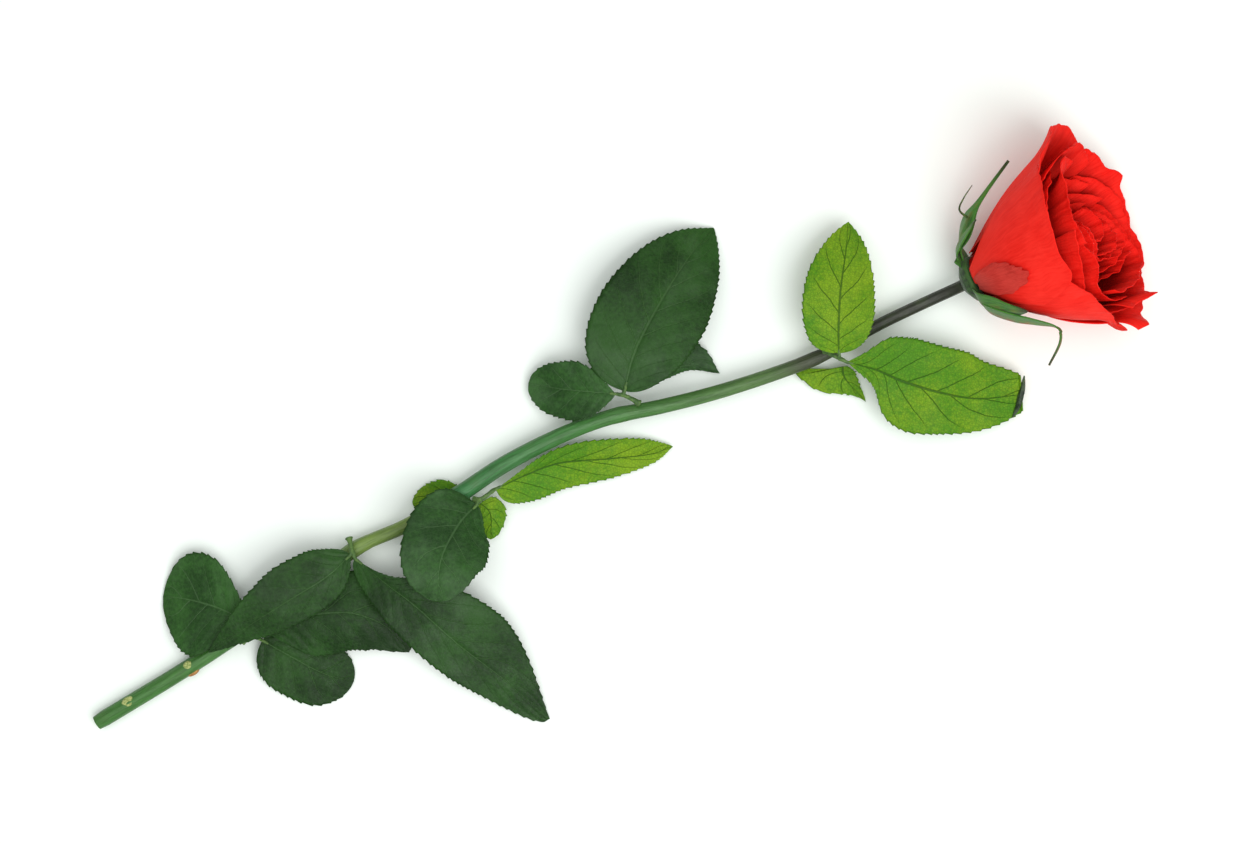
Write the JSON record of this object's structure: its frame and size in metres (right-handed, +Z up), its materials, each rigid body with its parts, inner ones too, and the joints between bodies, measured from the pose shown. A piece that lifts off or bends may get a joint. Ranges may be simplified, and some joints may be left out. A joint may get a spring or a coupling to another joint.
{
  "type": "long-stemmed preserved rose",
  "caption": "A preserved red rose lying on its side: a half-open bloom with folded-back sepals on a long, gently curved stem with dark, round-ended compound leaves.",
  "frame": {"origin": "On the surface the rose lies on, under the middle of its outline", "axes": "+Z up, away from the surface; +X along the outline from the cut end towards the bloom; +Y to the side the upper leaves point to"},
  "size_m": [0.3808, 0.2162, 0.0608],
  "materials": {
    "stem_green": "smooth, satin, ribbed lengthwise",
    "leaf_upper": "satin, veined",
    "leaf_underside": "matt, finely veined",
    "sepal_green": "matt",
    "petal_red": "velvety matt, crinkled towards the edge"
  },
  "bodies": {
    "root": {"stem": "stem_green", "base_leaf_leaflet_bottom": "leaf_upper", "base_leaf_leaflet_left": "leaf_upper", "base_leaf_leaflet_right": "leaf_upper", "base_leaf_stalk": "leaf_upper", "lower_leaf_leaflet_left": "leaf_upper", "lower_leaf_leaflet_right": "leaf_upper", "lower_leaf_stalk": "leaf_upper", "middle_leaf_leaflet_back_left": "leaf_underside", "middle_leaf_leaflet_back_right": "leaf_underside", "middle_leaf_leaflet_front": "leaf_upper", "middle_leaf_leaflet_long": "leaf_underside", "middle_leaf_stalk": "leaf_upper", "top_leaf_leaflet_right": "leaf_underside", "top_leaf_leaflet_under": "leaf_underside", "top_leaf_leaflet_upright": "leaf_underside", "top_leaf_stalk": "leaf_upper", "upper_leaf_leaflet_behind": "leaf_upper", "upper_leaf_leaflet_large": "leaf_upper", "upper_leaf_leaflet_small": "leaf_upper", "upper_leaf_stalk": "leaf_upper", "hip": "sepal_green", "sepal_far": "sepal_green", "sepal_far_under": "sepal_green", "sepal_front": "sepal_green", "sepal_near": "sepal_green", "sepal_under": "sepal_green", "bud_petal_1": "petal_red", "bud_petal_2": "petal_red", "bud_petal_3": "petal_red", "core_petal_1": "petal_red", "guard_petal_far_side": "petal_red", "guard_petal_front": "petal_red", "guard_petal_low_far": "petal_red", "guard_petal_low_near": "petal_red", "guard_petal_near_side": "petal_red", "heart_petal_1": "petal_red", "heart_petal_2": "petal_red", "heart_petal_3": "petal_red", "heart_petal_4": "petal_red", "inner_petal_1": "petal_red", "inner_petal_2": "petal_red", "inner_petal_3": "petal_red", "inner_petal_4": "petal_red", "inner_petal_5": "petal_red", "middle_petal_far_side": "petal_red", "middle_petal_front_far": "petal_red", "middle_petal_front_near": "petal_red", "middle_petal_low_far": "petal_red", "middle_petal_low_near": "petal_red", "outer_petal_far_side": "petal_red", "outer_petal_front_far": "petal_red", "outer_petal_front_near": "petal_red", "outer_petal_low_far": "petal_red", "outer_petal_low_near": "petal_red", "torn_petal_stub": "petal_red"}
  },
  "joints": []
}
